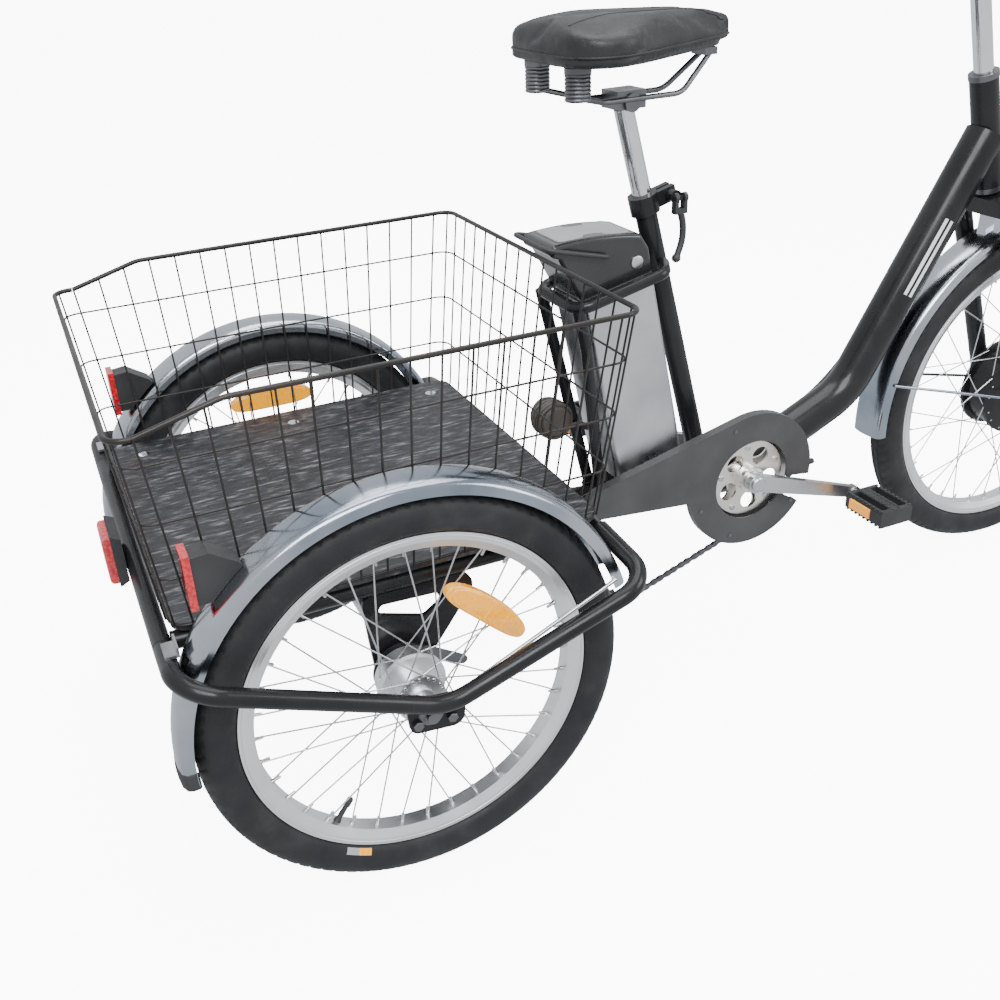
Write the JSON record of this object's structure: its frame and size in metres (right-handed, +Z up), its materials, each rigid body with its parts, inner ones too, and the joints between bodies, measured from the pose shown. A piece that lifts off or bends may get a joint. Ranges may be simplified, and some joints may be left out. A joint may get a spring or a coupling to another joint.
{
  "type": "adult tricycle",
  "caption": "Step-through adult cargo tricycle with electric assist, wire rear basket over a board, chain drive and a lift-out battery behind the seat tube",
  "frame": {"origin": "Centre of the whole tricycle's footprint at ground level", "axes": "+X is forward along the direction of travel, +Y is to the rider's left, +Z is up"},
  "size_m": [1.7562, 0.745, 1.0617],
  "materials": {
    "frame_paint": "gloss",
    "black_paint": "semi gloss",
    "chrome": "polished",
    "polished_steel": "polished",
    "bright_alloy": "satin",
    "dark_steel": "oiled",
    "basket_wire": "semi gloss",
    "tyre_rubber": "matt",
    "board_panel": "satin",
    "black_plastic": "matt",
    "gloss_black": "gloss",
    "guard_grey": "semi gloss",
    "battery_silver": "satin",
    "red_lens": "gloss",
    "saddle_vinyl": "satin",
    "grip_rubber": "matt"
  },
  "bodies": {
    "frame": {"bearing_shells": "frame_paint", "bearing_rings": "dark_steel", "head_tube": "frame_paint", "down_tube": "frame_paint", "main_beam": "frame_paint", "seat_tube": "frame_paint", "seat_clamp": "black_paint", "axle_plates": "black_paint", "carrier_frame": "black_paint", "guard_rails": "black_paint", "cargo_board": "board_panel", "board_bolts": "chrome", "basket_side_walls": "basket_wire", "basket_end_walls": "basket_wire", "rear_fenders": "polished_steel", "fender_supports": "bright_alloy", "light_housings": "black_plastic", "red_lenses": "red_lens", "battery_rack": "black_paint", "controller_box": "black_plastic", "primary_chain": "dark_steel", "secondary_chain": "dark_steel", "derailleur": "dark_steel", "chain_guard": "guard_grey", "brake_cable": "black_plastic", "brake_plates": "dark_steel"},
    "right_wheel": {"rear_right_tyre": "tyre_rubber", "rear_right_rim": "bright_alloy", "rear_right_spokes": "chrome", "rear_right_hub": "bright_alloy"},
    "left_wheel": {"rear_left_tyre": "tyre_rubber", "rear_left_rim": "bright_alloy", "rear_left_spokes": "chrome", "rear_left_hub": "bright_alloy"},
    "front_wheel": {"front_tyre": "tyre_rubber", "front_rim": "bright_alloy", "front_spokes": "chrome", "front_hub_motor": "black_paint"},
    "steering": {"fork": "frame_paint", "handlebar": "chrome", "grips": "grip_rubber", "front_fender": "polished_steel", "headlamp": "gloss_black"},
    "right_lever": {"brake_lever_right": "bright_alloy"},
    "left_lever": {"brake_lever_left": "bright_alloy"},
    "crank": {"crank_axle": "dark_steel", "chainring": "bright_alloy", "crank_arms": "bright_alloy"},
    "right_pedal": {"pedal_right": "black_plastic"},
    "left_pedal": {"pedal_left": "black_plastic"},
    "countershaft": {"jackshaft": "dark_steel"},
    "upper_pulley": {"guide_pulley": "black_plastic"},
    "lower_pulley": {"tension_pulley": "black_plastic"},
    "battery": {"battery_case": "battery_silver", "battery_lid": "gloss_black", "battery_handle": "black_plastic"},
    "seat": {"seatpost": "chrome", "saddle_frame": "dark_steel", "saddle": "saddle_vinyl"},
    "clamp_lever": {"seat_lever": "black_plastic"}
  },
  "joints": [
    {"name": "right_wheel_spin", "type": "hinge", "parent": "frame", "child": "right_wheel", "pos_m": [-0.586, 0, 0.255], "axis": [0, 1, 0], "continuous": true},
    {"name": "left_wheel_spin", "type": "hinge", "parent": "frame", "child": "left_wheel", "pos_m": [-0.586, 0, 0.255], "axis": [0, 1, 0], "continuous": true},
    {"name": "steer", "type": "hinge", "parent": "frame", "child": "steering", "pos_m": [0.45618, 0, 0.70472], "axis": [-0.2756, 0, 0.9613], "range_deg": [-50, 50]},
    {"name": "front_wheel_spin", "type": "hinge", "parent": "steering", "child": "front_wheel", "pos_m": [0.602, 0, 0.276], "axis": [0, 1, 0], "continuous": true},
    {"name": "right_lever_pull", "type": "hinge", "parent": "steering", "child": "right_lever", "pos_m": [0.32933, -0.31355, 1.04203], "axis": [0, 0, 1], "range_deg": [-14, 0], "stiffness_Nm_per_rad": 0.4},
    {"name": "left_lever_pull", "type": "hinge", "parent": "steering", "child": "left_lever", "pos_m": [0.32933, 0.31355, 1.04203], "axis": [0, 0, 1], "range_deg": [0, 14], "stiffness_Nm_per_rad": 0.4},
    {"name": "crank_turn", "type": "hinge", "parent": "frame", "child": "crank", "pos_m": [0.032, 0, 0.272], "axis": [0, 1, 0], "continuous": true},
    {"name": "right_pedal_spin", "type": "hinge", "parent": "crank", "child": "right_pedal", "pos_m": [0.20022, 0, 0.22376], "axis": [0, 1, 0], "continuous": true},
    {"name": "left_pedal_spin", "type": "hinge", "parent": "crank", "child": "left_pedal", "pos_m": [-0.13622, 0, 0.32024], "axis": [0, 1, 0], "continuous": true},
    {"name": "countershaft_turn", "type": "hinge", "parent": "frame", "child": "countershaft", "pos_m": [-0.256, 0, 0.262], "axis": [0, 1, 0], "continuous": true},
    {"name": "upper_pulley_turn", "type": "hinge", "parent": "frame", "child": "upper_pulley", "pos_m": [-0.238, 0, 0.196], "axis": [0, 1, 0], "continuous": true},
    {"name": "lower_pulley_turn", "type": "hinge", "parent": "frame", "child": "lower_pulley", "pos_m": [-0.198, 0, 0.12], "axis": [0, 1, 0], "continuous": true},
    {"name": "battery_lift", "type": "slide", "parent": "frame", "child": "battery", "axis": [-0.2079, 0, 0.9781], "range_m": [0, 0.1]},
    {"name": "seat_height", "type": "slide", "parent": "frame", "child": "seat", "axis": [-0.2605, 0, 0.9655], "range_m": [-0.03, 0.06]},
    {"name": "clamp_lever_swing", "type": "hinge", "parent": "frame", "child": "clamp_lever", "pos_m": [-0.08864, -0.034, 0.69286], "axis": [1, 0, 0], "range_deg": [-150, 0]}
  ],
  "couplings": [
    {"joint": "countershaft_turn", "follows": "crank_turn", "ratio": 2.75},
    {"joint": "right_wheel_spin", "follows": "crank_turn", "ratio": 2},
    {"joint": "upper_pulley_turn", "follows": "crank_turn", "ratio": -4},
    {"joint": "lower_pulley_turn", "follows": "crank_turn", "ratio": 4}
  ]
}
